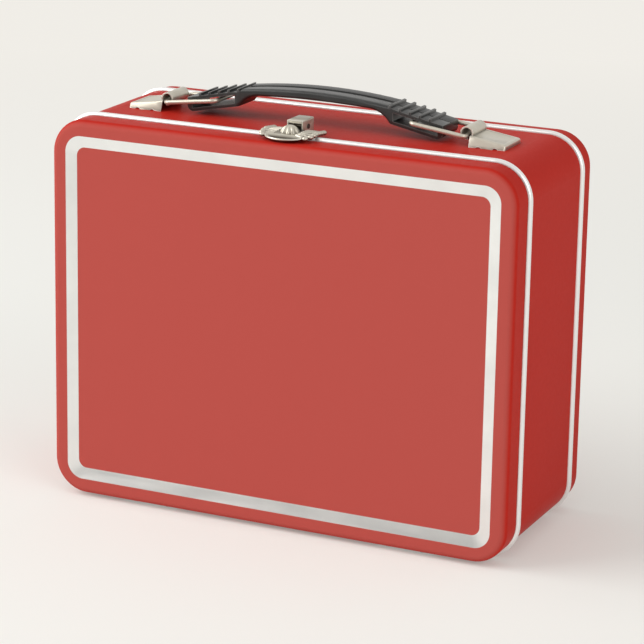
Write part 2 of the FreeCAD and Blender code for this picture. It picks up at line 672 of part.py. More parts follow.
def make_latch_flap():
    """Pressed latch flap: a thumb lip, a dome, ridged and scalloped wings and a barrel round the pin."""
    rim_y = front_rim_y.value
    case_top = top_z.value
    gauge = cell("flap_sheet").value
    half_width = cell("flap_half_width").value
    front = -cell("flap_reach").value
    tail = cell("flap_tail").value
    lobe = cell("lobe_radius").value
    flat = cell("flap_height").value
    lip = cell("flap_lip_height").value
    lip_end = front + cell("flap_lip_width").value
    scoop_end = lip_end + cell("flap_scoop").value
    reach = half_width + 2 * lobe
    rear = tail + 2 * lobe
    span = Vector(2 * reach, 0, 0)

    def at(across, along, rise):
        return Vector(across, rim_y + along, case_top + rise)

    def height_at(along):
        """Underside of the flap along its depth."""
        share = min(max((along - lip_end) / (scoop_end - lip_end), 0), 1)
        return lip + (flat - lip) * share

    def ridge(begin, finish):
        """Half-round ridge that runs out over a scallop."""
        run = finish - begin
        return Part.makeCylinder(cell("ridge_radius").value, run.Length, begin, run)

    under = [at(-reach, front - lobe, lip), at(-reach, lip_end, lip),
             at(-reach, scoop_end, flat), at(-reach, rear, flat)]
    skin = prism(under + [point + Vector(0, 0, gauge) for point in reversed(under)], span)
    deep = flat - 2 * cell("dome_radius").value
    below = prism(under + [at(-reach, rear, deep), at(-reach, front - lobe, deep)], span)

    centre_y = (front + tail) / 2
    half_depth = (tail - front) / 2
    column = Vector(0, 0, 4 * flat)
    oval = Part.Ellipse(at(0, centre_y, 0), half_width, half_depth)
    plan = Part.Face(Part.Wire(oval.toShape())).extrude(column)
    dome_y = cell("dome_setback").value
    eyes = []
    ridges = []
    for angle in SCALLOP_ANGLES:
        for side in (-1, 1):
            turn = math.radians(angle)
            across = side * half_width * math.cos(turn)
            along = centre_y + cell("lobe_spread").value * math.sin(turn)
            plan = plan.fuse(Part.makeCylinder(lobe, column.z, at(across, along, 0)))
            eyes.append(Part.makeCylinder(cell("lobe_eye_radius").value, column.z, at(across, along, 0)))
            ridges.append(ridge(at(0, dome_y, flat + gauge), at(across, along, height_at(along) + gauge)))
    plate = skin.common(plan)

    dome_at = at(0, dome_y, cell("dome_centre_height").value)
    dome = Part.makeSphere(cell("dome_radius").value, dome_at).cut(below)
    hollow = Part.makeSphere(cell("dome_radius").value - gauge, dome_at)
    pin_y = cell("latch_pin_setback").value
    notch_half = latch_half.value + cell("flap_notch_clearance").value
    notch_front = cell("latch_setback").value - cell("flap_notch_clearance").value
    notch = Part.makeBox(2 * notch_half, rear - notch_front, column.z, at(-notch_half, notch_front, 0))
    neck_width = cell("flap_neck_width").value
    neck_at = at(-neck_width / 2, notch_front - gauge, flat)
    neck = Part.makeBox(neck_width, pin_y - notch_front + gauge, gauge, neck_at)
    barrel_half = (latch_half - fitting - hinge_play).value
    barrel_at = Vector(-barrel_half, latch_pin_y.value, latch_pin_z.value)
    across_case = Vector(1, 0, 0)
    barrel = Part.makeCylinder(cell("latch_barrel_radius").value, 2 * barrel_half, barrel_at, across_case)
    bore_radius = (cell("latch_pin_radius") + cell("pin_clearance")).value
    bore = Part.makeCylinder(bore_radius, 2 * barrel_half, barrel_at, across_case)
    shape = plate.fuse(ridges).cut(notch).fuse([dome, neck, barrel]).cut([hollow, bore] + eyes)
    flap = doc.addObject("Part::Feature", "latch_flap")
    flap.Shape = shape.removeSplitter()
    flap.Placement = FreeCAD.Placement()
    return flap


def make_latch_spring():
    """Spring clip under the flap that grips the catch button from both sides and from behind."""
    body = new_body("latch_spring")
    gauge = cell("clip_sheet")
    inner = cell("catch_radius") + cell("clip_clearance")
    outer = inner + gauge
    rear = catch_y + inner
    front = front_rim_y - cell("flap_reach") + cell("flap_lip_width") + cell("flap_scoop")
    foot_z = top_z + cell("flap_height")
    loop = [(-outer, front), (-inner, front), (-inner, rear), (inner, rear), (inner, front), (outer, front),
            (outer, rear + gauge), (-outer, rear + gauge)]
    pad(body, "loop", "XY_Plane", top_z + cell("clip_clearance"), foot_z, [loop])
    foot_reach = outer + cell("catch_radius")
    for name, side in HINGE_SIDES:
        low_x, high_x = sorted((inner * side, foot_reach * side), key=lambda size: size.value)
        foot = rectangle(low_x, high_x, front, rear + gauge)
        pad(body, f"foot_{name}", "XY_Plane", foot_z - gauge, foot_z, [foot])
    return body


def make_lid_catch():
    """Catch button riveted through the lid's top wall."""
    under = top_z - sheet
    head = cell("rivet_head")
    shank = cylinder("lid_catch_shank", "Z", (0, catch_y, under), catch_shank, sheet)
    top = (0, catch_y, top_z)
    button = cylinder("lid_catch_button", "Z", top, cell("catch_radius"), cell("catch_height"))
    washer = cylinder("lid_catch_head", "Z", (0, catch_y, under - head), cell("rivet_head_radius"), head)
    return fuse("lid_catch", [shank, button, washer])


# Handle

def plate_z(x):
    """Top of the handle's ribbed plate at a distance from the handle's centre."""
    fall = (cell("plate_end_rise") - cell("plate_start_rise")) / (cell("plate_end") - cell("plate_start"))
    return top_z + cell("plate_start_rise") + (x - cell("plate_start")) * fall


def strip_z(x):
    """Underside of the handle's lower strip at a distance from the handle's centre."""
    fall = (cell("strip_end_rise") - cell("strip_start_rise")) / (cell("strip_end") - cell("strip_start"))
    return top_z + cell("strip_start_rise") + (x - cell("strip_start")) * fall


def arch_radius(half, rise):
    """Radius of an arch from its half length and its rise."""
    return (half * half + rise * rise) / (rise * 2)


def make_handle():
    """Moulded handle: an arched grip between two ribbed ends, each with a slot for its bail."""
    body = new_body("handle_grip")
    half_width = cell("handle_width") / 2
    low_y = handle_y - half_width
    high_y = handle_y + half_width
    grip_half = cell("grip_half")
    grip_end_z = top_z + cell("grip_end_rise")
    finger_half = cell("finger_half")
    finger_end_z = top_z + cell("finger_end_rise")
    end_x = cell("plate_end")
    strip_end = cell("strip_end")
    end_round = end_x - strip_end
    strip_start = (cell("strip_start"), strip_z(cell("strip_start")))
    strip_tip = (strip_end, strip_z(strip_end))
    end_low = (end_x, strip_z(strip_end) + end_round)
    plate_tip = (end_x, plate_z(end_x))
    plate_root = (cell("plate_start"), plate_z(cell("plate_start")))
    top_radius = arch_radius(grip_half, cell("grip_rise") - cell("grip_end_rise"))
    finger_drop = cell("finger_rise") - cell("finger_end_rise")
    under_radius = arch_radius(finger_half, finger_drop)
    finger_run = cell("strip_start") - finger_half
    finger_fall = cell("finger_end_rise") - cell("strip_start_rise")
    finger_square = finger_run * finger_run + finger_fall * finger_fall
    finger_lean = finger_fall * (under_radius - finger_drop) - finger_run * finger_half
    finger_round = finger_square * under_radius / (finger_lean * 2)

    def left(point):
        return (-point[0], point[1])

    profile = [
        (-finger_half, finger_end_z, -under_radius), (finger_half, finger_end_z, -finger_round),
        strip_start, (*strip_tip, end_round), end_low, plate_tip, plate_root,
        (grip_half, grip_end_z, top_radius), (-grip_half, grip_end_z),
        left(plate_root), left(plate_tip), (*left(end_low), end_round), left(strip_tip),
        (*left(strip_start), -finger_round),
    ]
    slots = []
    for side in (-1, 1):
        start = cell("slot_start")
        end = cell("slot_end")
        roof = cell("plate_thickness")
        floor = cell("strip_thickness")
        slots.append([(start * side, strip_z(start) + floor), (end * side, strip_z(end) + floor),
                      (end * side, plate_z(end) - roof), (start * side, plate_z(start) - roof)])
    pad(body, "side", "XZ_Plane", low_y, high_y, [profile] + slots)

    arch_foot_z = grip_end_z.value - TOLERANCE
    arch_reach = grip_half.value + TOLERANCE
    arch_top = lambda point: point.z > arch_foot_z and abs(point.x) < arch_reach
    on_side = lambda point: near(point.y, low_y) or near(point.y, high_y)
    round_edges(body, "upper_edges", cell("grip_top_round"),
                lambda edge: all_points(edge, lambda point: arch_top(point) and on_side(point)))

    finger_top_z = (top_z + cell("finger_rise")).value + TOLERANCE
    finger_reach = cell("strip_start").value + TOLERANCE
    under_arch = lambda point: point.z < finger_top_z and abs(point.x) < finger_reach
    round_edges(body, "lower_edges", cell("grip_under_round"),
                lambda edge: all_points(edge, lambda point: under_arch(point) and on_side(point)))

    depth = cell("groove_depth")
    groove_half = cell("groove_width") / 2
    crown = top_z + cell("grip_rise") + CUT_MARGIN
    groove = [(grip_half, grip_end_z - depth, top_radius), (-grip_half, grip_end_z - depth),
              (-grip_half, crown), (grip_half, crown)]
    cut(body, "groove", "XZ_Plane", handle_y - groove_half, handle_y + groove_half, [groove])

    seams = []
    seam_half = cell("seam_width") / 2
    for side in (-1, 1):
        start = cell("plate_start")
        depth = cell("seam_depth")
        seams.append([(start * side, plate_z(start) - depth), (end_x * side, plate_z(end_x) - depth),
                      (end_x * side, crown), (start * side, crown)])
    cut(body, "seams", "XZ_Plane", handle_y - seam_half, handle_y + seam_half, seams)

    ribs = []
    root = cell("plate_thickness") / 2
    for side in (-1, 1):
        for index in range(RIBS_PER_END):
            near_x = cell("rib_start") + cell("rib_pitch") * index
            far_x = near_x + cell("rib_width")
            ribs.append([(near_x * side, plate_z(near_x) - root), (far_x * side, plate_z(far_x) - root),
                         (far_x * side, plate_z(far_x) + cell("rib_height")),
                         (near_x * side, plate_z(near_x) + cell("rib_height"))])
    pad(body, "ribs", "XZ_Plane", low_y, high_y, ribs)
    return body


def make_bail(name, side):
    """Wire loop between a bracket's curl and the slot in the handle's end."""
    wire = cell("wire_radius")
    bar_x = cell("bail_bar")
    bar_z = plate_z(bar_x) - cell("plate_thickness") - cell("bail_clearance") - wire
    axis_x = cell("bail_axis")
    axis_z = top_z + cell("curl_height") - cell("curl_inner_radius") + wire + cell("bail_seat")
    run = (axis_x - bar_x).value
    climb = (bar_z - axis_z).value
    length = Size(math.hypot(run, climb), repr(math.hypot(run, climb)))
    half_width = cell("handle_width") / 2 + cell("bail_side_gap") + wire
    body = new_body(f"{name}_bail")
    bend = cell("bail_bend")
    path = rounded_rectangle(half_width * 2, as_size(0), length, bend)
    middle = as_size(0)
    section = [(wire, middle, wire), (middle, wire, wire), (-wire, middle, wire), (middle, -wire, wire)]
    sweep(body, "wire", "YZ_Plane", path[0][0], section, "XY_Plane", as_size(0), path)
    lean = math.degrees(math.atan2(climb, run))
    tilt = FreeCAD.Rotation(Vector(0, 1, 0), lean * side)
    face = FreeCAD.Rotation(Vector(0, 0, 1), 90 * side)
    pivot = Vector(axis_x.value * side, handle_y.value, axis_z.value)
    body.Placement = FreeCAD.Placement(pivot, tilt.multiply(face))
    return body


def hood_z(x):
    """Top of a bracket's hood at a distance from the handle's centre."""
    fall = (cell("hood_end_height") - cell("hood_start_height")) / (cell("hood_end") - cell("hood_start"))
    return top_z + cell("hood_start_height") + (x - cell("hood_start")) * fall


def hood_section(x, inset, floor_z):
    """Section across a bracket's hood, moved inwards, whose skirts lean in from the case top to the roof."""
    share = (x - cell("hood_start")) / (cell("hood_end") - cell("hood_start"))
    flare = cell("hood_start_flare") + (cell("hood_end_flare") - cell("hood_start_flare")) * share
    top_half = hood_half - inset
    foot_half = top_half + flare
    roof_z = hood_z(x) - inset
    foot = [(handle_y - foot_half, floor_z), (handle_y + foot_half, floor_z)]
    if floor_z.value < top_z.value:
        foot = [(handle_y - foot_half, top_z)] + foot + [(handle_y + foot_half, top_z)]
    return foot + [(handle_y + top_half, roof_z), (handle_y - top_half, roof_z)]


def make_handle_bracket(name, side):
    """Pressed bracket on the case top: a sloping hood with a curl at its inner end for the bail."""
    body = new_body(f"{name}_handle_bracket")
    start = cell("hood_start")
    end = cell("hood_end")
    low_y = handle_y - hood_half
    high_y = handle_y + hood_half
    below = top_z - CUT_MARGIN
    inner_end = end - fitting
    open_end = start - CUT_MARGIN
    hood = [(x * side, hood_section(x, as_size(0), top_z)) for x in (start, end)[::-side]]
    loft(body, "AdditiveLoft", "hood", "YZ_Plane", hood)

    def upper_edge(edge):
        ends = [vertex.Point for vertex in edge.Vertexes]
        raised = [point.z > top_z.value + TOLERANCE for point in ends]
        at_end = all(near(abs(point.x), end) for point in ends)
        at_start = all(near(abs(point.x), start) for point in ends)
        return (all(raised) and not at_start) or (any(raised) and at_end)

    round_edges(body, "edges", cell("hood_round"), upper_edge)
    hollow = [(x * side, hood_section(x, fitting, below)) for x in (open_end, inner_end)[::-side]]
    loft(body, "SubtractiveLoft", "hollow", "YZ_Plane", hollow)
    border = cell("hood_border")
    panel_end = end - border
    sink = cell("hood_panel")
    panel = [(open_end * side, hood_z(open_end) - sink), (panel_end * side, hood_z(panel_end) - sink),
             (panel_end * side, hood_z(start) + CUT_MARGIN), (open_end * side, hood_z(start) + CUT_MARGIN)]
    cut(body, "panel", "XZ_Plane", low_y + border, high_y - border, [panel])
    foot = cell("hood_foot")
    middle = hood_tab_x
    tab_half = cell("hood_tab_width") / 2

    centre_z = top_z + cell("curl_height")
    inner = cell("curl_inner_radius")
    outer = inner + fitting
    centre_x = cell("bail_axis")

    def on_curl(radius, degrees):
        turn = math.radians(degrees)
        return ((centre_x + radius * math.cos(turn)) * side, centre_z + radius * math.sin(turn))

    meet = math.asin((cell("hood_start_height") - fitting - cell("curl_height")).value / outer.value)
    turns = (math.degrees(meet), 90, 180, CURL_TIP_ANGLE)
    outside = [(*on_curl(outer, turn), outer * side) for turn in turns[:-1]] + [on_curl(outer, turns[-1])]
    inside = [(*on_curl(inner, turn), inner * -side) for turn in reversed(turns[1:])]
    inside.append(on_curl(inner, turns[0]))
    curl_half = cell("curl_length") / 2
    pad(body, "curl", "XZ_Plane", handle_y - curl_half, handle_y + curl_half, [outside + inside])

    arches = []
    for low_x, high_x in ((start + foot, middle - tab_half), (middle + tab_half, end - foot)):
        half = (high_x - low_x) / 2
        bend = arch_radius(half, cell("hood_arch"))
        arches.append([(low_x * side, top_z, -bend * side), (high_x * side, top_z),
                       (high_x * side, below), (low_x * side, below)])
    reach = hood_half + cell("hood_start_flare") + CUT_MARGIN
    cut(body, "arches", "XZ_Plane", handle_y - reach, handle_y + reach, arches)
    for row_name, row in (("front", -1), ("rear", 1)):
        outer_y = handle_y + hood_foot_half * row
        inner_y = outer_y - fitting * row
        tip_y = inner_y - cell("tab_foot") * row
        under = top_z - sheet
        tab = [(inner_y, top_z), (outer_y, top_z), (outer_y, under - fitting),
               (tip_y, under - fitting), (tip_y, under), (inner_y, under)]
        tab_ends = ((middle - tab_half) * side, (middle + tab_half) * side)
        low_x, high_x = sorted(tab_ends, key=lambda size: size.value)
        pad(body, f"tab_{row_name}", "YZ_Plane", low_x, high_x, [tab])
    return body


pieces = [
    make_band(),
    make_front_rim(),
    make_rim("rear_rim", rear_rim_y),
    make_tray("back_cover", rear_y, rear_rim_y, cell("back_edge_radius"), cell("back_recess")),
    make_lid(),
    make_hinge_rivets("band_hinge_rivets", 1),
    make_hinge_rivets("lid_hinge_rivets", -1),
    make_latch_bracket(),
    make_latch_pin(),
    make_latch_flap(),
    make_latch_spring(),
    make_lid_catch(),
    make_handle(),
]
for side_name, side_sign in HINGE_SIDES:
    pieces.append(make_leaf(f"{side_name}_band_leaf", side_sign, 1))
    pieces.append(make_leaf(f"{side_name}_lid_leaf", side_sign, -1))
    pieces.append(make_hinge_pin(side_name, side_sign))
    pieces.append(make_bail(side_name, side_sign))
    pieces.append(make_handle_bracket(side_name, side_sign))
doc.recompute()

for item in doc.Objects:
    if "Invalid" in item.State or "Error" in item.State:
        raise RuntimeError(f"{item.Label} failed: {item.State}")
for piece in pieces:
    if piece.Shape.isNull() or not piece.Shape.isValid():
        raise RuntimeError(f"{piece.Label} has no valid shape")

os.makedirs("parts", exist_ok=True)
for piece in pieces:
    piece.Shape.exportStep(f"parts/{piece.Label}.step")
    box = piece.Shape.BoundBox
    print(f"{piece.Label:24s} {len(piece.Shape.Solids)} solids {piece.Shape.Volume:10.1f} mm3  "
          f"{box.XLength:.2f} x {box.YLength:.2f} x {box.ZLength:.2f} mm")
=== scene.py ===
import bpy
import math
from mathutils import Matrix, Vector


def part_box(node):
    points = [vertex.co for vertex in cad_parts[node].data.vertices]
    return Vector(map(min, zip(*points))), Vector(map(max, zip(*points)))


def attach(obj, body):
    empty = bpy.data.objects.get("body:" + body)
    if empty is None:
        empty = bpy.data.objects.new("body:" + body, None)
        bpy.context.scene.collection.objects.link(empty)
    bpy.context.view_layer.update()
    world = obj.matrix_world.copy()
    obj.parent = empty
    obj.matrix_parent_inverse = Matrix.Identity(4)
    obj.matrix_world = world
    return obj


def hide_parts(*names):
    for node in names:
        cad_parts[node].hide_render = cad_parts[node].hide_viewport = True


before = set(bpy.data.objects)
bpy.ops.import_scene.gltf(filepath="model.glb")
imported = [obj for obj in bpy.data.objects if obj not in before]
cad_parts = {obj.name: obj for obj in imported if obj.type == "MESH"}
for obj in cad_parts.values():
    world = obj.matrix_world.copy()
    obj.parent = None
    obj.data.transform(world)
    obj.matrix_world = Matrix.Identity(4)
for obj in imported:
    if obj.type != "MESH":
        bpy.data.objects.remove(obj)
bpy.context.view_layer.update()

# Case sizes in metres, the same as the solids' own
MM = 0.001
SHEET = 0.4 * MM
CORNER_RADIUS = 15.5 * MM
FRAME_MARGIN = 7.0 * MM
FRAME_WIDTH = 5.1 * MM
FRAME_OUTER_RADIUS = 7.5 * MM
FRAME_INNER_RADIUS = 4.0 * MM

wall_low, wall_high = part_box("body_band")
WALL_HALF_WIDTH = (wall_high.x - wall_low.x) / 2
WALL_HALF_HEIGHT = (wall_high.z - wall_low.z) / 2
WALL_MIDDLE = (wall_high.z + wall_low.z) / 2
FRONT_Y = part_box("front_lid")[0].y

# Rounding of sharp edges
GRIP_EDGE = 0.25 * MM
LATCH_BRACKET_EDGE = 0.15 * MM
HANDLE_BRACKET_EDGE = 0.2 * MM
SAME_POINT = 0.001 * MM
SAME_PLANE = math.radians(1)
SHARP = math.radians(35)
FLAP_SHARP = math.radians(50)

# The latch flap in millimetres, from the front rim and the case top
RIM_Y = -30.55
CASE_TOP = 173.5
FLAP_HALF_WIDTH = 10.4
FLAP_HALF_DEPTH = 10.5
FLAP_MIDDLE = -2.1
FLAP_SHEET = 0.7
FLAP_RINGS = (0.95, 0.9, 0.85, 0.78, 0.7, 0.6, 0.5, 0.38, 0.25, 0.12)
VOXEL = 0.12

# The plate narrows behind its lip, rises from a trough to its back, and falls a little towards its tail
WAIST = 2.4
WAIST_FRONT = -8
WAIST_RUN = 4
LIP_START = 0.82
LIP_WIDTH = 0.18
TROUGH_HEIGHT = 0.85
BACK_RISE = 1.45
BACK_FRONT = -8.8
BACK_RUN = 2.6
TAIL_FALL = 0.35
TAIL_FRONT = 2.5
TAIL_RUN = 5

# Beads along a wing's border, each on a rib
BEAD_COUNT = 7
BEAD_FIRST = -7.2
BEAD_STEP = 2.5
BEAD_SIZE = (1.35, 1.4, 1.05)
BEAD_LINE = 11.8
BEAD_LINE_BEND = 2.0
BEND_END = -2.5
BEND_RUN = 5
BEAD_HEIGHT = 2.75
BEAD_FALL = 0.95
BEAD_FALL_RUN = 8
RIB_RADIUS = 0.52
RIB_FOOT = 1.2
RIB_START = 0.5
RIB_LIFT = 0.35
RIB_GATHER = 0.72

# Thumb boss, the notch for the bracket, and the barrel and neck that turn on the pin
BOSS_RADIUS = 4.4
BOSS_PLACE = (0, -0.9, 1.4)
BOSS_FOOT = 2.0
BOSS_FLUTES = 9
BOSS_GROOVE = 0.22
FLUTE_SEGMENTS = 8
NOTCH_WIDTH = 9.3
NOTCH_FRONT = 2.9
NOTCH_REACH = 20
BARREL_RADIUS = 1.025
BARREL_WALL = 0.75
BARREL_LENGTH = 6.0
BARREL_PLACE = (0, 9.4, 3.6)
NECK_SIZE = (4.6, 6.4, FLAP_SHEET)
NECK_PLACE = (0, 5.3, 2.55)
NECK_EDGE = 0.2

# Colours
RED = (0.475, 0.025, 0.016, 1)
RED_DEEP = (0.455, 0.022, 0.014, 1)
# Paler red of front-facing enamel: painted reflection haze
RED_PAINTED_HAZE = (0.460, 0.080, 0.067, 1)
FRAME_TIN = (0.92, 0.92, 0.905, 1)
FRAME_TIN_DULL = (0.84, 0.84, 0.83, 1)
INSIDE_TIN = (0.58, 0.58, 0.57, 1)
INSIDE_TIN_DULL = (0.50, 0.50, 0.49, 1)
RIM_TIN = (0.90, 0.90, 0.89, 1)
RIM_TIN_DULL = (0.86, 0.86, 0.85, 1)
NICKEL = (0.62, 0.585, 0.50, 1)
NICKEL_PALE = (0.64, 0.605, 0.52, 1)
NICKEL_DULL = (0.56, 0.525, 0.44, 1)
STEEL = (0.56, 0.56, 0.56, 1)
STEEL_DULL = (0.46, 0.46, 0.46, 1)
# Near-black of the latch pin, painted as the shade in its hole
PIN_PAINTED_SHADE = (0.10, 0.095, 0.09, 1)
PIN_PAINTED_SHADE_DULL = (0.07, 0.065, 0.06, 1)
# Dark colour of painted shade in recesses
RECESS_PAINTED_SHADE = (0.11, 0.092, 0.072, 1)
# Pale colour of painted highlights along metal edges
EDGE_PAINTED_HIGHLIGHT = (0.93, 0.91, 0.86, 1)
PLASTIC = (0.018, 0.019, 0.019, 1)
PLASTIC_PALE = (0.026, 0.027, 0.027, 1)
# Pale colour of painted highlights along the grip's edges
PLASTIC_PAINTED_HIGHLIGHT = (0.16, 0.155, 0.15, 1)

# Where the enamel ends: within the sheet, at the turn of a panel and along the bare frame
PAINT_STOP = (-0.75 * SHEET, -0.25 * SHEET)
PANEL_TURN = (0.05, 0.15)
# Turn over which front-facing enamel goes paler: painted reflection haze
PAINTED_HAZE_TURN = (0.5, 0.95)
FRAME_DEPTH = (FRONT_Y + 2 * MM, FRONT_Y + 3 * MM)
SOFT_LINE = 0.06 * MM

# Texture: noise scales per metre, relief in metres, and ranges of roughness
NOISE_SPAN = (0.3, 0.7)
ENAMEL_CLOUD = 500
ENAMEL_GRAIN = 900
ENAMEL_SHEEN = 700
ENAMEL_RELIEF = 0.002 * MM
ENAMEL_ROUGH = (0.36, 0.42)
ENAMEL_SPECULAR = 0.02
TIN_PATCHES = 60
TIN_BRUSHING = 300
BRUSHED = (0.1, 1, 1)
INSIDE_ROUGH = (0.50, 0.58)
FRAME_POLISH = 0.22
METAL_CLOUD = 120
METAL_RELIEF = 0.001 * MM
PLATING_ROUGH = (0.29, 0.34)
PLASTIC_CLOUD = 90
PLASTIC_GRAIN = 1600
PLASTIC_RELIEF = 0.004 * MM
PLASTIC_ROUGH = (0.29, 0.36)

# Painted shade in recesses and painted highlight along edges: how far they reach, and the openness they show
# at; then where the flap's trough takes painted shade
FINE_REACH = 0.45 * MM
FINE_RECESS = (0.35, 0.9)
WIDE_RECESS = (0.3, 0.9)
EDGE_REACH = 0.35 * MM
EDGE_OPEN = (0.5, 0.95)
TROUGH_CLEAR = (1.6, 2.4)
TROUGH_LIP = (0.80, 0.90)

# Stage
PALE = (0.875, 0.85, 0.80, 1)
FLOOR_COLOR = (0.87, 0.885, 0.865, 1)
FLOOR_ROUGH = 0.9
FLOOR_SIZE = 12
FLOOR_GLOW = 0.28
FLOOR_FADE = (0.4, 1.1)
WARM = (1.0, 0.985, 0.96)
SKY_RISE = (0.0, 0.6)
SKY_LIGHT = (0.22, 0.76)
WALL_TURN = (-0.1, 0.6)
WALL_LIGHT = 0.40
WALL_SEEN = 0.85
LAMP_AIM = Vector((0, 0, 0.09))

# View: where the camera stands, seen from the foot of the front face
AZIMUTH = math.radians(24.7437)
ELEVATION = math.radians(16.12)
ROLL = math.radians(1.0364)
CAMERA_RIGHT = 22.297 * MM
CAMERA_UP = 91.298 * MM
CAMERA_BACK = 1246.893 * MM
FOOT_HEIGHT = 0.2 * MM
FOCAL_PIXELS = 2840.05
FRAME_PIXELS = 644
SENSOR = 36.0
FARTHEST = 100


class Graph:
    """Node tree of a finish or of the world, with short ways to add and join nodes."""

    def __init__(self, owner, shader="Principled BSDF"):
        owner.use_nodes = True
        self.owner = owner
        self.tree = owner.node_tree
        self.shader = self.tree.nodes[shader]

    def add(self, kind, **settings):
        node = self.tree.nodes.new(f"ShaderNode{kind}")
        for key, value in settings.items():
            setattr(node, key, value)
        return node

    def put(self, value, socket):
        """Join a socket to another, or set it to a value."""
        if hasattr(value, "is_output"):
            self.tree.links.new(value, socket)
        else:
            socket.default_value = value

    def finish(self, **values):
        """Join or set the shader's own sockets, named with _ for a space."""
        for name, value in values.items():
            self.put(value, self.shader.inputs[name.replace("_", " ")])

    def show(self, share, second, output):
        """Show the shader, mixed with a share of a second one."""
        blend = self.add("MixShader")
        self.put(share, blend.inputs[0])
        self.put(self.shader.outputs[0], blend.inputs[1])
        self.put(second.outputs[0], blend.inputs[2])
        self.put(blend.outputs[0], self.tree.nodes[output].inputs["Surface"])

    def math(self, operation, *values):
        node = self.add("Math", operation=operation)
        for value, socket in zip(values, node.inputs):
            self.put(value, socket)
        return node.outputs[0]

    def length(self, first, second):
        """Length across two sides that meet at a right angle."""
        squares = [self.math("POWER", side, 2.0) for side in (first, second)]
        return self.math("SQRT", self.math("ADD", *squares))

    def place(self):
        """Object coordinates."""
        return self.add("TexCoord").outputs["Object"]

    def axes(self, vector):
        node = self.add("SeparateXYZ")
        self.put(vector, node.inputs[0])
        return node.outputs[:3]

    def ramp(self, value, low, high, to_low=0.0, to_high=1.0):
        """A value carried from one range to another, and held at its ends."""
        node = self.add("MapRange")
        for number, item in enumerate((value, low, high, to_low, to_high)):
            self.put(item, node.inputs[number])
        return node.outputs[0]

    def noise(self, scale, detail, stretch=(1, 1, 1)):
        mapping = self.add("Mapping")
        self.put(self.place(), mapping.inputs["Vector"])
        mapping.inputs["Scale"].default_value = stretch
        node = self.add("TexNoise")
        self.put(mapping.outputs[0], node.inputs["Vector"])
        node.inputs["Scale"].default_value = scale
        node.inputs["Detail"].default_value = detail
        return node.outputs["Fac"]

    def cloud(self, scale, detail, low=0.0, high=1.0, stretch=(1, 1, 1)):
        """Noise spread between two values."""
        return self.ramp(self.noise(scale, detail, stretch), *NOISE_SPAN, low, high)

    def mix(self, share, first, second):
        node = self.add("Mix", data_type="RGBA")
        self.put(share, node.inputs[0])
        self.put(first, node.inputs[6])
        self.put(second, node.inputs[7])
        return node.outputs[2]

    def bump(self, height, depth):
        """Small relief, its depth in metres."""
        node = self.add("Bump")
        node.inputs["Distance"].default_value = depth
        self.put(height, node.inputs["Height"])
        return node.outputs[0]

    def hollow(self, reach, inside=False):
        """Openness of the surface, low in recesses; seen from inside it is low along edges."""
        node = self.add("AmbientOcclusion", samples=16, inside=inside, only_local=inside)
        node.inputs["Distance"].default_value = reach
        return node.outputs["AO"]

    def away_from_edges(self):
        """Low along sharp edges, 1 elsewhere."""
        return self.ramp(self.hollow(EDGE_REACH, inside=True), *EDGE_OPEN)

    def flap_trough(self):
        """Low in the trough behind the latch flap's lip, 1 elsewhere; painted shade goes where it is low."""
        x, y, z = self.axes(self.place())
        wide = self.math("DIVIDE", x, FLAP_HALF_WIDTH * MM)
        deep = self.math("SUBTRACT", y, (RIM_Y + FLAP_MIDDLE) * MM)
        deep = self.math("DIVIDE", deep, FLAP_HALF_DEPTH * MM)
        low, high = [(CASE_TOP + height) * MM for height in TROUGH_CLEAR]
        lip = self.ramp(self.length(wide, deep), *TROUGH_LIP)
        return self.math("MAXIMUM", self.ramp(z, low, high), lip)

    def inset(self, margin, radius):
        """Distance outside a rounded rectangle set in from the walls, negative inside it."""
        x, _, z = self.axes(self.place())
        height = self.math("SUBTRACT", z, WALL_MIDDLE)
        beyond = []
        for value, wall in ((x, WALL_HALF_WIDTH), (height, WALL_HALF_HEIGHT)):
            past = self.math("SUBTRACT", self.math("ABSOLUTE", value), wall - margin - radius)
            beyond.append(self.math("MAXIMUM", past, 0.0))
        return self.math("SUBTRACT", self.length(*beyond), radius)

    def bare_frame(self):
        """1 on the bare frame pressed round the lid's panel, 0 elsewhere."""
        outer = self.inset(FRAME_MARGIN, FRAME_OUTER_RADIUS)
        inner = self.inset(FRAME_MARGIN + FRAME_WIDTH, FRAME_INNER_RADIUS)
        within = self.ramp(outer, -SOFT_LINE, SOFT_LINE, 1.0, 0.0)
        beyond = self.ramp(inner, -SOFT_LINE, SOFT_LINE)
        _, y, _ = self.axes(self.place())
        front = self.ramp(y, *FRAME_DEPTH, 1.0, 0.0)
        return self.math("MULTIPLY", self.math("MULTIPLY", within, beyond), front)


# Finishes

